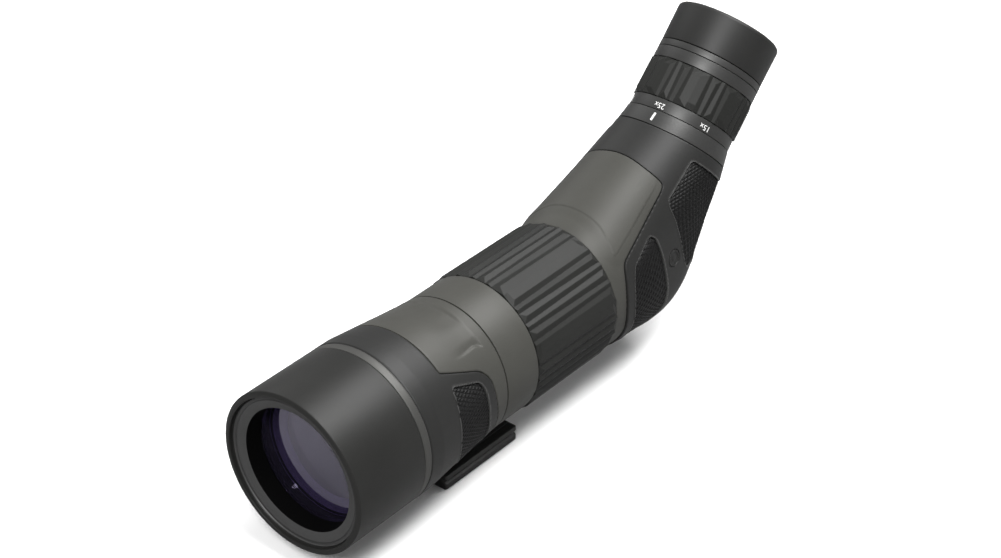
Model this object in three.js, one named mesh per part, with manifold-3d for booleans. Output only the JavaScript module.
// Angled spotting scope with a rotating tripod collar, in millimetres.
// Row frame: +X along the barrel towards the objective, +Y to the scope's left, +Z up,
// origin at the centre of the tripod foot's bottom face.
//
// The barrel group's own frame has x to the left, y rearwards from the objective lip, and z up.
// The eyepiece group's own frame has y along the eyepiece axis, away from the elbow.
import * as THREE from 'three';
import { mergeVertices } from 'three/addons/utils/BufferGeometryUtils.js';
import Module from 'manifold-3d';

const wasm = await Module();
wasm.setup();

// ---------- driving dimensions ----------
const NOSE_X = 115.5; // row X of the objective lip
const AXIS_Z = 54; // row Z of the optical axis above the foot's bottom face
const ELBOW_Y = 249.45; // where the eyepiece axis meets the barrel axis
const EYEPIECE_ANGLE = Math.PI / 4;
const GAP = 0.3; // clearance between neighbouring pieces
const RUN = 0.5; // clearance round a faceted shaft that turns
const SIDES = 24; // facets round the barrel
const SMALL_SIDES = 16; // facets round lenses and cells
const PIN_SIDES = 12; // facets round screws and pins

const SHADE_R = 43; // sunshade, trim ring and the front of the collar
const SHADE_BORE = 39.5;
const SHADE_END = 45.2;
const TRIM_START = 45.5;
const TRIM_END = 50.1;
const COLLAR_START = 50.4;
const COLLAR_END = 112.7;
const COLLAR_FRONT_R = 43.1;
const COLLAR_MID_R = 39.0; // at COLLAR_MID
const COLLAR_MID = 99;
const BARREL_R = 37.9; // rear of the collar and the plain ring
const RING_END = 136.3;
const FOCUS_START = 136.6;
const FOCUS_END = 199.8;
const FOCUS_R = 38.9;
const FOCUS_RIBS = 24;
const FOCUS_PIN_Y = 160;
const HOUSING_START = 200.2;
const HOUSING_R = 38.2; // where the housing meets the focus ring
const TUBE_R = 34; // objective tube behind the trim ring
const TUBE_BORE = 31.5;
const TUBE_FRONT_R = 38.3;
const APERTURE_R = 32.6; // clear aperture of a 65 mm objective
const COLLAR_BORE = 36;

const SKIN = 1.5; // thickness of the rubber armour
const WALL = 2.4; // metal wall under it
const NECK_T = 63.6; // end of the prism housing along the eyepiece axis
const NECK_R = 31;
const INDEX_END = 72.4;
const SCALE_END = 79.1;
const ZOOM_GRIP_END = 101;
const ZOOM_END = 107.3;
const STOP_END = 111.1;
const EYECUP_START = 111.5;
const EYECUP_END = 134;
const EYECUP_R = 29;
const EYEPIECE_TUBE_R = 22;
const EYEPIECE_BORE = 20;

const FOOT_LENGTH = 55;
const FOOT_HALF_WIDTH = 19;
const FOOT_HEIGHT = 9;
const BOSS_HALF_WIDTH = 14;
const BOSS_START = 88.3; // stations of the boss that the foot is screwed to
const SCREW_XS = [8, 22]; // row X of the two foot screws
const INSERT_X = -13; // row X of the tripod thread
const KNOB_Y = 104.5; // station of the collar lock knob
const KNOB_R = 8.5;

// ---------- materials ----------
const material = (color, roughness, metalness) =>
  new THREE.MeshStandardMaterial({ color, roughness, metalness });
const GREY_METAL = material(0x6d6d68, 0.45, 0.4);
const ARMOUR = material(0x3b3b3a, 0.6, 0.0);
const GRIP_RUBBER = material(0x1d1d1d, 0.7, 0.0);
const RIB_RUBBER = material(0x484947, 0.55, 0.0);
const DARK_METAL = material(0x4b4b4a, 0.4, 0.6);
const TRIM_METAL = material(0x74736f, 0.35, 0.8);
const BLACK_METAL = material(0x1b1b1a, 0.4, 0.6);
const STEEL = material(0x8d8f92, 0.3, 0.9);
const BRASS = material(0xb08a42, 0.35, 0.9);
const PLASTIC = material(0x26262a, 0.5, 0.0);
const FELT = material(0x151515, 0.95, 0.0);
const GLASS = material(0x6a5fa8, 0.05, 0.0);
const PRISM_GLASS = material(0xc8d4d8, 0.05, 0.0);

// ---------- geometry helpers ----------
// Merges shared vertices, drops collapsed triangles and turns every face outwards.
function closed(source) {
  const bare = source.clone();
  bare.deleteAttribute('normal');
  bare.deleteAttribute('uv');
  const merged = mergeVertices(bare, 1e-4);
  const place = merged.getAttribute('position');
  const kept = [];
  let volume = 0;
  const [a, b, c] = [new THREE.Vector3(), new THREE.Vector3(), new THREE.Vector3()];
  for (let i = 0; i < merged.index.count; i += 3) {
    const corner = [0, 1, 2].map((k) => merged.index.getX(i + k));
    if (corner[0] === corner[1] || corner[1] === corner[2] || corner[2] === corner[0]) continue;
    kept.push(corner);
    a.fromBufferAttribute(place, corner[0]);
    b.fromBufferAttribute(place, corner[1]);
    c.fromBufferAttribute(place, corner[2]);
    volume += a.dot(b.cross(c));
  }
  const outward = volume > 0 ? kept : kept.map(([p, q, r]) => [p, r, q]);
  merged.setIndex(outward.flat());
  return merged;
}

function solid(source) {
  const geometry = closed(source);
  return new wasm.Manifold(new wasm.Mesh({
    numProp: 3,
    vertProperties: new Float32Array(geometry.getAttribute('position').array),
    triVerts: new Uint32Array(geometry.index.array),
  }));
}

function geometryOf(manifold) {
  const mesh = manifold.getMesh();
  const geometry = new THREE.BufferGeometry();
  geometry.setAttribute('position', new THREE.BufferAttribute(mesh.vertProperties, 3));
  geometry.setIndex(Array.from(mesh.triVerts));
  return geometry;
}

const cut = (body, ...tools) => tools.reduce((left, tool) => left.subtract(tool), body);

// A body of revolution about y, from corners [radius, station].
function turned(corners, sides = SIDES) {
  const outline = corners.map(([r, y]) => new THREE.Vector2(r, y));
  if (corners[0][0] > 0) outline.push(outline[0].clone());
  return closed(new THREE.LatheGeometry(outline, sides));
}

const ring = (inner, outer, start, end, sides = SIDES) =>
  turned([[inner, start], [outer, start], [outer, end], [inner, end]], sides);

// A lens between two dished faces; bulges are positive away from the glass.
function lens(radius, start, end, frontBulge, rearBulge, sides = SMALL_SIDES) {
  const steps = 2;
  const corners = [];
  for (let i = 0; i <= steps; i += 1) {
    const r = (radius * i) / steps;
    corners.push([r, start - frontBulge * (1 - (r / radius) ** 2)]);
  }
  for (let i = steps; i >= 0; i -= 1) {
    const r = (radius * i) / steps;
    corners.push([r, end + rearBulge * (1 - (r / radius) ** 2)]);
  }
  return turned(corners, sides);
}

// A slab with the given side view [station, height], from left to right of the scope.
function slab(outline, left, right) {
  const shape = new THREE.Shape(outline.map(([y, z]) => new THREE.Vector2(y, z)));
  const geometry = new THREE.ExtrudeGeometry(shape, { depth: left - right, bevelEnabled: false });
  const axes = new THREE.Matrix4().makeBasis(
    new THREE.Vector3(0, 1, 0),
    new THREE.Vector3(0, 0, 1),
    new THREE.Vector3(1, 0, 0),
  );
  geometry.applyMatrix4(axes);
  geometry.translate(right, 0, 0);
  return geometry;
}

function block(x0, x1, y0, y1, z0, z1) {
  const geometry = new THREE.BoxGeometry(x1 - x0, y1 - y0, z1 - z0);
  geometry.translate((x0 + x1) / 2, (y0 + y1) / 2, (z0 + z1) / 2);
  return geometry;
}

// A round rod from one point to another.
function rod(radius, from, to, sides = PIN_SIDES) {
  const start = new THREE.Vector3(...from);
  const span = new THREE.Vector3(...to).sub(start);
  const geometry = new THREE.CylinderGeometry(radius, radius, span.length(), sides);
  const turn = new THREE.Quaternion().setFromUnitVectors(
    new THREE.Vector3(0, 1, 0),
    span.clone().normalize(),
  );
  geometry.applyQuaternion(turn);
  geometry.translate(...start.addScaledVector(span, 0.5).toArray());
  return geometry;
}

// Moves each edge of an outline inwards by a distance.
function inset(outline, distance) {
  const points = outline.map(([u, v]) => new THREE.Vector2(u, v));
  const inward = THREE.ShapeUtils.area(points) > 0 ? 1 : -1;
  return points.map((point, i) => {
    const before = points[(i + points.length - 1) % points.length];
    const after = points[(i + 1) % points.length];
    const d0 = point.clone().sub(before).normalize();
    const d1 = after.clone().sub(point).normalize();
    const n0 = new THREE.Vector2(-d0.y, d0.x);
    const n1 = new THREE.Vector2(-d1.y, d1.x);
    const shift = n0.clone().add(n1).multiplyScalar((inward * distance) / (1 + n0.dot(n1)));
    return [point.x + shift.x, point.y + shift.y];
  });
}

// A ring of points joined to the next ring, with a flat cap at both ends.
function loft(rings) {
  const count = rings[0].length;
  const places = rings.flat().flatMap((p) => p.toArray());
  const index = [];
  for (let i = 0; i < rings.length - 1; i += 1) {
    for (let j = 0; j < count; j += 1) {
      const [a, b] = [i * count + j, i * count + ((j + 1) % count)];
      index.push(a, b, a + count, b, b + count, a + count);
    }
  }
  const last = (rings.length - 1) * count;
  for (let j = 1; j < count - 1; j += 1) {
    index.push(0, j + 1, j, last, last + j, last + j + 1);
  }
  const geometry = new THREE.BufferGeometry();
  geometry.setAttribute('position', new THREE.Float32BufferAttribute(places, 3));
  geometry.setIndex(index);
  return geometry;
}

// ---------- the prism housing's form ----------
// Its sections lie in planes that fan out from a point above the bend, from the barrel's end
// plane to the neck's. Each section is an egg: a top circle and a bottom circle.
const NECK_SUM = ELBOW_Y + NECK_T * Math.SQRT2; // y + z is the same all over the neck's end plane
const FAN = { y: HOUSING_START, z: NECK_SUM - HOUSING_START };
// Distance from the fan's point to the neck's centre.
const NECK_CENTRE = Math.hypot(
  ELBOW_Y + NECK_T * Math.SQRT1_2 - FAN.y,
  NECK_T * Math.SQRT1_2 - FAN.z,
);
const ELBOW_BALL = { y: ELBOW_Y - 1.5, z: -1.3, r: 38.6 }; // rounds the elbow's underside

// Distance from the fan's point to the underside, along a section at the given angle. In side
// view the underside is a ball at the elbow with a tangent to the barrel and one to the neck.
function undersideReach(angle) {
  const start = { y: HOUSING_START, z: 0, r: HOUSING_R };
  const neck = {
    y: ELBOW_Y + NECK_T * Math.SQRT1_2,
    z: NECK_T * Math.SQRT1_2,
    r: NECK_R,
  };
  const leanOf = (from, to) => {
    const [dy, dz] = [to.y - from.y, to.z - from.z];
    return Math.atan2(dz, dy) + Math.asin((from.r - to.r) / Math.hypot(dy, dz));
  };
  const barrelLean = leanOf(start, ELBOW_BALL);
  const neckLean = leanOf(ELBOW_BALL, neck);
  const elbow = new THREE.Vector2(ELBOW_BALL.y - FAN.y, ELBOW_BALL.z - FAN.z);
  const ray = new THREE.Vector2(Math.sin(angle), -Math.cos(angle));
  const tangentReach = (lean) => {
    const normal = new THREE.Vector2(Math.sin(lean), -Math.cos(lean));
    return (normal.dot(elbow) + ELBOW_BALL.r) / normal.dot(ray);
  };
  const along = elbow.dot(ray);
  const off2 = elbow.lengthSq() - along ** 2;
  const ballReach = along + Math.sqrt(Math.max(ELBOW_BALL.r ** 2 - off2, 0));
  const touch = ray.clone().multiplyScalar(ballReach).sub(elbow);
  const touchLean = Math.atan2(touch.x, -touch.y);
  if (touchLean < barrelLean) return tangentReach(barrelLean);
  if (touchLean > neckLean) return tangentReach(neckLean);
  return ballReach;
}

// One section, sunk below the surface by a depth. Share runs from 0 at the barrel to 1 at the neck.
function housingSection(share, depth, count) {
  const angle = EYEPIECE_ANGLE * share;
  const down = { y: Math.sin(angle), z: -Math.cos(angle) };
  const startTop = FAN.z - HOUSING_R;
  const endTop = NECK_CENTRE - NECK_R;
  const chord = Math.atan2(startTop - endTop * Math.cos(EYEPIECE_ANGLE), endTop * Math.sin(EYEPIECE_ANGLE));
  const topReach = (startTop * Math.cos(chord)) / Math.cos(angle - chord);
  const topR = HOUSING_R + (NECK_R - HOUSING_R) * share;
  const swell = Math.max(Math.sin(Math.PI * Math.min(share / 0.9, 1)), 0);
  const bottomR = HOUSING_R + (NECK_R - HOUSING_R) * Math.max(share, 0) ** 2 + 1.9 * swell;
  const topCentre = topReach + topR;
  const bottomCentre = Math.max(undersideReach(angle) - bottomR, topCentre);
  const spread = Math.max(bottomCentre - topCentre, Math.abs(bottomR - topR) * 1.02, 1e-6);
  const tilt = Math.asin((bottomR - topR) / spread);
  const points = [];
  for (let j = 0; j < count; j += 1) {
    const turn = (2 * Math.PI * j) / count; // 0 at the top, growing to the left
    const onTop = Math.cos(turn) > Math.sin(tilt) - 1e-9;
    const radius = (onTop ? topR : bottomR) - depth;
    const reach = (onTop ? topCentre : bottomCentre) - radius * Math.cos(turn);
    points.push(new THREE.Vector3(
      radius * Math.sin(turn),
      FAN.y + reach * down.y,
      FAN.z + reach * down.z,
    ));
  }
  return points;
}

// The housing's form, sunk below its outer surface by a depth, between two shares of the bend.
function housingForm(depth, from, to, steps, count) {
  const rings = [];
  for (let i = 0; i <= steps; i += 1) {
    rings.push(housingSection(from + ((to - from) * i) / steps, depth, count));
  }
  return solid(loft(rings));
}

// ---------- scene graph ----------
const scope = new THREE.Group();
const barrel = new THREE.Group();
barrel.position.set(NOSE_X, 0, AXIS_Z);
barrel.rotation.z = Math.PI / 2;
scope.add(barrel);
const eyepiece = new THREE.Group();
eyepiece.position.set(0, ELBOW_Y, 0);
eyepiece.rotation.x = EYEPIECE_ANGLE;
barrel.add(eyepiece);

function add(group, name, shape, finish) {
  const geometry = shape.isBufferGeometry ? shape : geometryOf(shape);
  const mesh = new THREE.Mesh(geometry, finish.clone());
  mesh.name = name;
  group.add(mesh);
}

// Brings a geometry drawn in the eyepiece's frame into the barrel's frame.
function fromEyepiece(geometry) {
  const moved = geometry.clone();
  moved.rotateX(EYEPIECE_ANGLE);
  moved.translate(0, ELBOW_Y, 0);
  return moved;
}

// Brings a geometry drawn in the row frame into the barrel's frame.
function fromRow(geometry) {
  const moved = geometry.clone();
  moved.translate(-NOSE_X, 0, -AXIS_Z);
  moved.rotateZ(-Math.PI / 2);
  return moved;
}

// ---------- sunshade ----------
function addSunshade() {
  add(barrel, 'sunshade_tube', turned([
    [39.7, 0], [42.5, 0], [SHADE_R, 0.6], [SHADE_R, SHADE_END], [SHADE_BORE, SHADE_END],
    [SHADE_BORE, 2],
  ]), ARMOUR);
  add(barrel, 'sunshade_felt_ring', ring(TUBE_FRONT_R + 0.35, SHADE_BORE - GAP, 37, 44), FELT);
}

// ---------- objective and main tube ----------
function addObjective() {
  const slotHalf = 12;
  const tube = solid(turned([
    [34.6, 9.3], [TUBE_FRONT_R, 9.3], [TUBE_FRONT_R, SHADE_END], [TUBE_R, SHADE_END],
    [TUBE_R, 204], [TUBE_BORE, 204], [TUBE_BORE, 40], [32.6, 32], [34.6, 32],
  ]));
  const slot = solid(block(-2.4, 2.4, FOCUS_PIN_Y - slotHalf, FOCUS_PIN_Y + slotHalf, 25, 40));
  add(barrel, 'objective_tube', cut(tube, slot), BLACK_METAL);
  add(barrel, 'objective_retaining_ring', turned([
    [APERTURE_R, 3.6], [TUBE_FRONT_R, 1.5], [TUBE_FRONT_R, 9], [34.3, 9], [34.3, 13.6],
    [APERTURE_R, 13.6],
  ]), BLACK_METAL);
  add(barrel, 'objective_front_lens', lens(34.2, 14, 20.5, 3.2, 2.4, SIDES), GLASS);
  add(barrel, 'objective_spacer', ring(32.8, 34.2, 20.9, 24.6, SMALL_SIDES), BLACK_METAL);
  add(barrel, 'objective_rear_lens', lens(34.2, 25, 31.6, -2.6, -0.8, SIDES), GLASS);
  add(barrel, 'stray_light_baffle', turned([
    [29.4, 62], [31.1, 62], [31.1, 66], [29.6, 66], [26.6, 134], [25.4, 134],
  ], SMALL_SIDES), BLACK_METAL);
  add(barrel, 'trim_ring', ring(TUBE_R + GAP, SHADE_R, TRIM_START, TRIM_END), TRIM_METAL);
  add(barrel, 'barrel_ring', ring(TUBE_R + GAP, BARREL_R, COLLAR_END + GAP, RING_END), GREY_METAL);
}

// ---------- tripod collar ----------
const collarOutline = (depth) => [
  [COLLAR_FRONT_R - depth, COLLAR_START], [COLLAR_FRONT_R - 0.1 - depth, 59],
  [COLLAR_MID_R - depth, COLLAR_MID], [BARREL_R - depth, COLLAR_END],
];

// Side view of the part of the collar that the armour covers.
const COLLAR_ARMOUR = [
  [40, 60], [72.6, 60], [72.6, 30.4], [97, 20.8], [100.6, 17.4], [102.4, 12], [103.4, 2],
  [106.2, -14], [108, -30], [108, -60], [40, -60],
];
const COLLAR_GRIP = [
  [75.6, 22.9], [93.6, 16.6], [95.8, 13.8], [96.6, 4], [97.4, -6], [100.6, -20], [99, -26],
  [81, -26], [76.2, -17], [73.8, -4], [73.8, 8], [74.8, 20.5],
];

function addCollar() {
  const span = (depth, bore) => solid(turned([
    ...collarOutline(depth), [bore, COLLAR_END], [bore, COLLAR_START],
  ]));
  const armourSide = solid(slab(COLLAR_ARMOUR, 60, -60));
  const pocket = cut(span(-5, 20), solid(turned([
    [0, COLLAR_START - 1], ...collarOutline(SKIN + GAP), [0, COLLAR_END],
  ]))).intersect(armourSide);
  const bossFloor = FOOT_HEIGHT + GAP - AXIS_Z;
  const boss = solid(block(
    -BOSS_HALF_WIDTH, BOSS_HALF_WIDTH, BOSS_START, COLLAR_END, bossFloor, -34.5,
  ));
  const lockBoss = solid(rod(6.5, [-39.7, KNOB_Y, 0], [-33, KNOB_Y, 0], 20));
  const bore = solid(rod(COLLAR_BORE, [0, 40, 0], [0, 120, 0], SIDES));
  const lockHole = solid(rod(2.8, [-60, KNOB_Y, 0], [-20, KNOB_Y, 0]));
  const screwHoles = SCREW_XS.map((x) => solid(fromRow(rod(2.8, [x, 0, 5], [x, 0, 15]))));
  const shell = cut(span(0, 30), pocket).add(boss).add(lockBoss);
  add(barrel, 'collar_shell', cut(shell, bore, lockHole, ...screwHoles), GREY_METAL);

  const grip = solid(slab(COLLAR_GRIP, 60, -60));
  const sleeve = cut(span(0, 30), solid(turned([
    [0, COLLAR_START - 1], ...collarOutline(SKIN), [0, COLLAR_END + 1],
  ])));
  const armourBossHole = solid(block(
    -BOSS_HALF_WIDTH - GAP, BOSS_HALF_WIDTH + GAP, BOSS_START - GAP, 120, -60, 0,
  ));
  const armourLockHole = solid(rod(6.5 + GAP, [-60, KNOB_Y, 0], [-20, KNOB_Y, 0], 20));
  const armour = sleeve.intersect(solid(slab(inset(COLLAR_ARMOUR, GAP), 59, -59)));
  add(barrel, 'collar_armour', cut(armour, grip, armourBossHole, armourLockHole), ARMOUR);
  const gripSkin = sleeve.intersect(solid(slab(inset(COLLAR_GRIP, GAP), 58, -58)));
  const leftHalf = solid(block(1, 60, 40, 130, -60, 60));
  const rightHalf = solid(block(-60, -1, 40, 130, -60, 60));
  add(barrel, 'collar_grip_left', gripSkin.intersect(leftHalf), GRIP_RUBBER);
  add(barrel, 'collar_grip_right', gripSkin.intersect(rightHalf), GRIP_RUBBER);

  add(barrel, 'collar_bush_front', ring(TUBE_R + RUN, COLLAR_BORE - GAP, 51.5, 60), PLASTIC);
  add(barrel, 'collar_bush_rear', ring(TUBE_R + RUN, COLLAR_BORE - GAP, 108.6, 112.3), PLASTIC);
}

function addLock() {
  const outline = new THREE.Shape();
  const flutes = 10;
  for (let i = 0; i < flutes * 4; i += 1) {
    const turn = (2 * Math.PI * i) / (flutes * 4);
    const radius = i % 4 === 3 ? KNOB_R - 0.9 : KNOB_R;
    const go = i === 0 ? 'moveTo' : 'lineTo';
    outline[go](radius * Math.cos(turn), radius * Math.sin(turn));
  }
  const knob = new THREE.ExtrudeGeometry(outline, { depth: 6.2, bevelEnabled: false });
  knob.rotateY(-Math.PI / 2);
  knob.translate(-40.3, KNOB_Y, 0);
  const bore = solid(rod(2.7, [-45, KNOB_Y, 0], [-30, KNOB_Y, 0]));
  add(barrel, 'lock_knob', cut(solid(knob), bore), BLACK_METAL);
  add(barrel, 'lock_screw', closed(rod(2.4, [-44.7, KNOB_Y, 0], [-35.9, KNOB_Y, 0])), STEEL);
  add(barrel, 'lock_pad', closed(rod(3, [-35.5, KNOB_Y, 0], [-34.45, KNOB_Y, 0])), BRASS);
}

// ---------- tripod foot ----------
function addFoot() {
  const w = FOOT_HALF_WIDTH;
  const section = new THREE.Shape([
    [-w + 0.8, 0], [w - 0.8, 0], [w, 0.8], [w, 3.6], [w - 2.2, 4.9], [w, 6.2],
    [w, FOOT_HEIGHT], [-w, FOOT_HEIGHT], [-w, 6.2], [-w + 2.2, 4.9], [-w, 3.6], [-w, 0.8],
  ].map(([y, z]) => new THREE.Vector2(y, z)));
  const plate = new THREE.ExtrudeGeometry(section, { depth: FOOT_LENGTH, bevelEnabled: false });
  plate.applyMatrix4(new THREE.Matrix4().makeBasis(
    new THREE.Vector3(0, 1, 0),
    new THREE.Vector3(0, 0, 1),
    new THREE.Vector3(1, 0, 0),
  ));
  plate.translate(-FOOT_LENGTH / 2, 0, 0);
  const holes = SCREW_XS.flatMap((x) => [
    solid(rod(2.8, [x, 0, -1], [x, 0, 12])),
    solid(rod(4.7, [x, 0, -1], [x, 0, 4.6])),
  ]);
  const insertHole = solid(rod(5, [INSERT_X, 0, -1], [INSERT_X, 0, 12]));
  add(scope, 'tripod_foot', cut(solid(plate), ...holes, insertHole), BLACK_METAL);
  SCREW_XS.forEach((x, i) => {
    const head = solid(rod(4.3, [x, 0, 0.6], [x, 0, 4.3]));
    const shank = solid(rod(2.4, [x, 0, 3], [x, 0, 14.6]));
    const socket = solid(rod(2.3, [x, 0, 0], [x, 0, 2.8], 6));
    add(scope, ['foot_screw_rear', 'foot_screw_front'][i], cut(head.add(shank), socket), STEEL);
  });
  const insert = solid(rod(4.7, [INSERT_X, 0, 0.3], [INSERT_X, 0, 8.7]));
  const thread = solid(rod(3.1, [INSERT_X, 0, -1], [INSERT_X, 0, 12]));
  add(scope, 'tripod_thread_insert', cut(insert, thread), STEEL);
}

// ---------- focus ----------
function addFocus() {
  add(barrel, 'focus_sleeve', turned([
    [TUBE_R + RUN, FOCUS_START], [36.4, FOCUS_START], [36.4, FOCUS_END], [TUBE_R + RUN, FOCUS_END],
    [TUBE_R + RUN, 180], [35.6, 179], [35.6, 141], [TUBE_R + RUN, 140],
  ]), DARK_METAL);
  const outline = new THREE.Shape();
  for (let i = 0; i < FOCUS_RIBS * 2; i += 1) {
    const turn = (Math.PI * i) / FOCUS_RIBS;
    const radius = i % 2 === 0 ? FOCUS_R : FOCUS_R - 1.2;
    const go = i === 0 ? 'moveTo' : 'lineTo';
    outline[go](radius * Math.sin(turn), radius * Math.cos(turn));
  }
  const grip = new THREE.ExtrudeGeometry(outline, {
    depth: FOCUS_END - FOCUS_START - 0.4, bevelEnabled: false,
  });
  grip.rotateX(Math.PI / 2);
  grip.translate(0, FOCUS_END - 0.2, 0);
  const bore = solid(rod(36.7, [0, 120, 0], [0, 220, 0], SIDES));
  add(barrel, 'focus_grip', cut(solid(grip), bore), RIB_RUBBER);

  add(barrel, 'focus_lens_cell', turned([
    [28, 151], [31.1, 151], [31.1, 169], [26, 169], [26, 166], [28, 166],
  ], SMALL_SIDES), BLACK_METAL);
  add(barrel, 'focus_lens', lens(27.6, 156, 165.6, -1.6, -1.2), GLASS);
  const pin = rod(2, [0, FOCUS_PIN_Y, 31.5], [0, FOCUS_PIN_Y, 35]);
  add(barrel, 'focus_drive_pin', closed(pin), STEEL);
}

// ---------- prism housing ----------
// Side view of the part of the housing that the armour covers.
const HOUSING_ARMOUR = [
  [251, 75], [251, 56], [254.2, 48], [250.7, 45.2], [219, 27.2], [213.4, 24], [210.8, 19],
  [209.4, 8], [208.8, -3], [210.6, -17], [212, -60], [400, -60], [400, 75],
];
const SIDE_GRIP = [
  [234, 29], [231.4, 28], [219, 19.8], [216.8, 16.8], [215.6, 8], [215.4, -2], [216, -14],
  [218, -36], [228, -36], [240, -24], [244.4, -9], [242.4, 4], [240.6, 15], [237.6, 25.4],
];
const REAR_GRIP = [
  [276.4, 52.8], [253.2, 40.6], [252.6, 37.6], [255, 28], [257, 19], [258.4, 10], [262, -2],
  [320, -2], [330, 30], [298.8, 30.4],
];
const BADGE = { y: 250.2, z: 9.7, r: 4.6 };

function addHousing() {
  const [steps, count] = [7, 24];
  const outer = housingForm(0, 0, 1, steps, count);
  const underSkin = housingForm(SKIN + GAP, 0.003, 0.997, steps, count);
  const skinFloor = housingForm(SKIN, -0.01, 1.01, steps, count);
  const cavity = housingForm(SKIN + GAP + WALL, 0.13, 0.9, 4, 20);
  const armourSide = solid(slab(HOUSING_ARMOUR, 60, -60));
  const tubeBore = solid(rod(TUBE_R + GAP, [0, 190, 0], [0, 212, 0], SIDES));
  const neckBore = solid(fromEyepiece(rod(EYEPIECE_TUBE_R + GAP, [0, 45, 0], [0, 90, 0], SMALL_SIDES)));
  const body = cut(outer, armourSide).add(underSkin);
  add(barrel, 'prism_housing', cut(body, cavity, tubeBore, neckBore), GREY_METAL);

  const skin = cut(outer, skinFloor);
  const armour = skin.intersect(solid(slab(inset(HOUSING_ARMOUR, GAP), 59, -59)));
  const sideWindow = solid(slab(SIDE_GRIP, 58, -58));
  const rearWindow = solid(slab(REAR_GRIP, 58, -58));
  const badgeWindow = solid(rod(BADGE.r + GAP, [-58, BADGE.y, BADGE.z], [58, BADGE.y, BADGE.z]));
  add(barrel, 'housing_armour', cut(armour, sideWindow, rearWindow, badgeWindow), ARMOUR);
  const sideGrip = skin.intersect(solid(slab(inset(SIDE_GRIP, GAP), 57, -57)));
  const badge = skin.intersect(solid(rod(BADGE.r, [-57, BADGE.y, BADGE.z], [57, BADGE.y, BADGE.z])));
  const halves = {
    left: solid(block(4, 60, 190, 340, -60, 80)),
    right: solid(block(-60, -4, 190, 340, -60, 80)),
  };
  for (const [side, half] of Object.entries(halves)) {
    add(barrel, `side_grip_${side}`, sideGrip.intersect(half), GRIP_RUBBER);
    add(barrel, `badge_${side}`, badge.intersect(half), ARMOUR);
  }
  const rearGrip = skin.intersect(solid(slab(inset(REAR_GRIP, GAP), 57, -57)));
  add(barrel, 'rear_grip', rearGrip, GRIP_RUBBER);
}

// ---------- prisms ----------
function addPrisms() {
  const half = 17;
  const bracketHalf = 19.5;
  add(barrel, 'half_penta_prism', closed(slab([
    [222, -16], [222, 16], [233, 16], [262, -4], [262, -16],
  ], half, -half)), PRISM_GLASS);
  add(eyepiece, 'roof_prism', closed(slab([
    [10, -15], [31, -15], [31, 15], [24, 15],
  ], half, -half)), PRISM_GLASS);
  const frame = solid(slab([
    [218, -19], [270, -19], [270, -8], [264, 22], [236, 22], [218, 8],
  ], bracketHalf, -bracketHalf));
  const room = solid(block(-half - GAP, half + GAP, 200, 300, -16.4, 60));
  add(barrel, 'prism_bracket', cut(frame, room), BLACK_METAL);
}

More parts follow.
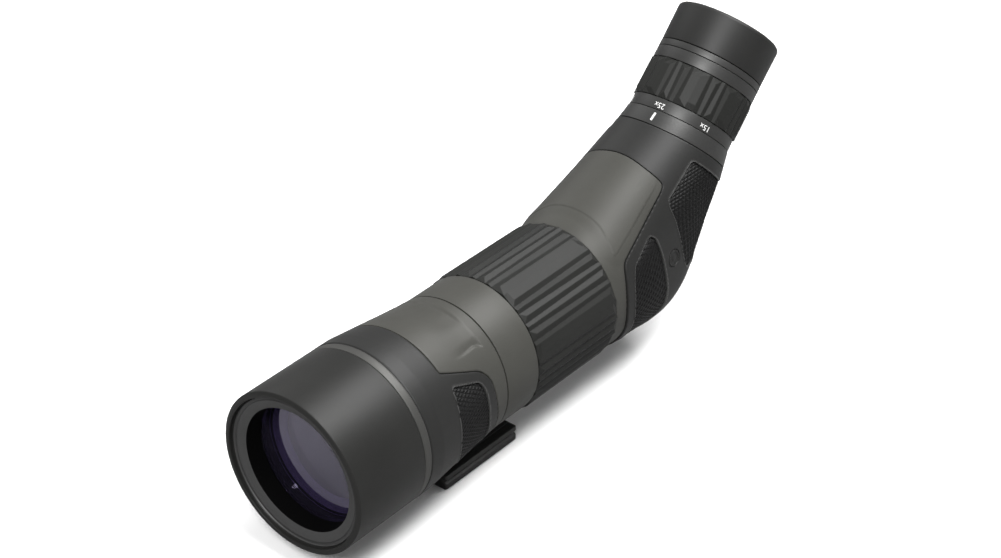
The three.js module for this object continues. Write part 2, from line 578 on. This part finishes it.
// ---------- eyepiece ----------
function addEyepiece() {
  const small = SMALL_SIDES;
  add(eyepiece, 'index_ring', turned([
    [EYEPIECE_TUBE_R + GAP, NECK_T + GAP], [NECK_R, NECK_T + GAP], [29.25, INDEX_END],
    [EYEPIECE_TUBE_R + GAP, INDEX_END],
  ]), DARK_METAL);
  add(eyepiece, 'eyepiece_tube', ring(EYEPIECE_BORE, EYEPIECE_TUBE_R, 50, 126, small), BLACK_METAL);
  add(eyepiece, 'field_stop', ring(11, EYEPIECE_BORE - GAP, 50.5, 52.5, small), BLACK_METAL);
  add(eyepiece, 'field_lens', lens(EYEPIECE_BORE - GAP, 53, 55.4, 0.2, 1.6), GLASS);
  add(eyepiece, 'zoom_sleeve', turned([
    [EYEPIECE_TUBE_R + RUN, INDEX_END + GAP], [29, INDEX_END + GAP], [28.8, SCALE_END],
    [26, SCALE_END], [26, ZOOM_GRIP_END], [29.1, ZOOM_GRIP_END], [29.1, ZOOM_END],
    [EYEPIECE_TUBE_R + RUN, ZOOM_END],
  ]), DARK_METAL);
  const ribs = 18;
  const outline = new THREE.Shape();
  for (let i = 0; i < ribs * 2; i += 1) {
    const turn = (Math.PI * i) / ribs;
    const radius = i % 2 === 0 ? 29.8 : 28.8;
    const go = i === 0 ? 'moveTo' : 'lineTo';
    outline[go](radius * Math.sin(turn), radius * Math.cos(turn));
  }
  const gripLength = ZOOM_GRIP_END - SCALE_END - 2 * GAP;
  const grip = new THREE.ExtrudeGeometry(outline, { depth: gripLength, bevelEnabled: false });
  grip.rotateX(Math.PI / 2);
  grip.translate(0, ZOOM_GRIP_END - GAP, 0);
  const bore = solid(rod(26 + GAP, [0, 70, 0], [0, 110, 0], SIDES));
  add(eyepiece, 'zoom_grip', cut(solid(grip), bore), RIB_RUBBER);
  add(eyepiece, 'eyepiece_stop_ring', ring(EYEPIECE_TUBE_R + GAP, 29.1, ZOOM_END + GAP, STOP_END), DARK_METAL);

  const cellR = EYEPIECE_BORE - GAP;
  add(eyepiece, 'variator_cell', ring(16, cellR, 66, 76, small), BLACK_METAL);
  add(eyepiece, 'variator_lens', lens(15.7, 69, 74, -1.2, -1), GLASS);
  add(eyepiece, 'compensator_cell', ring(16, cellR, 88, 99, small), BLACK_METAL);
  add(eyepiece, 'compensator_lens', lens(15.7, 91.5, 95.5, 1.4, 1.4), GLASS);
  add(eyepiece, 'eye_lens', lens(cellR, 113.5, 119.5, 0.8, 2), GLASS);
  add(eyepiece, 'eye_lens_retainer', turned([
    [17.8, 119.9], [cellR, 119.9], [cellR, 125.8], [18.6, 125.8],
  ], small), BLACK_METAL);
}

function addEyecup() {
  const camR = 24.5;
  const sleeveR = 27;
  add(eyepiece, 'eyecup_cam_ring', ring(EYEPIECE_TUBE_R + RUN, camR, EYECUP_START, 124), PLASTIC);
  add(eyepiece, 'eyecup_sleeve', ring(camR + GAP, sleeveR, EYECUP_START + 0.4, 130), DARK_METAL);
  add(eyepiece, 'eyecup_rubber', turned([
    [sleeveR + GAP, EYECUP_START], [EYECUP_R, EYECUP_START], [EYECUP_R, 131.6],
    [EYECUP_R - 1.4, 133.6], [EYECUP_R - 3, EYECUP_END], [22.5, 133.4], [20.5, 132],
    [20.5, 130.3], [sleeveR + GAP, 130.3],
  ]), ARMOUR);
}

addFoot();
addCollar();
addLock();
addSunshade();
addObjective();
addFocus();
addHousing();
addPrisms();
addEyepiece();
addEyecup();

export default scope;
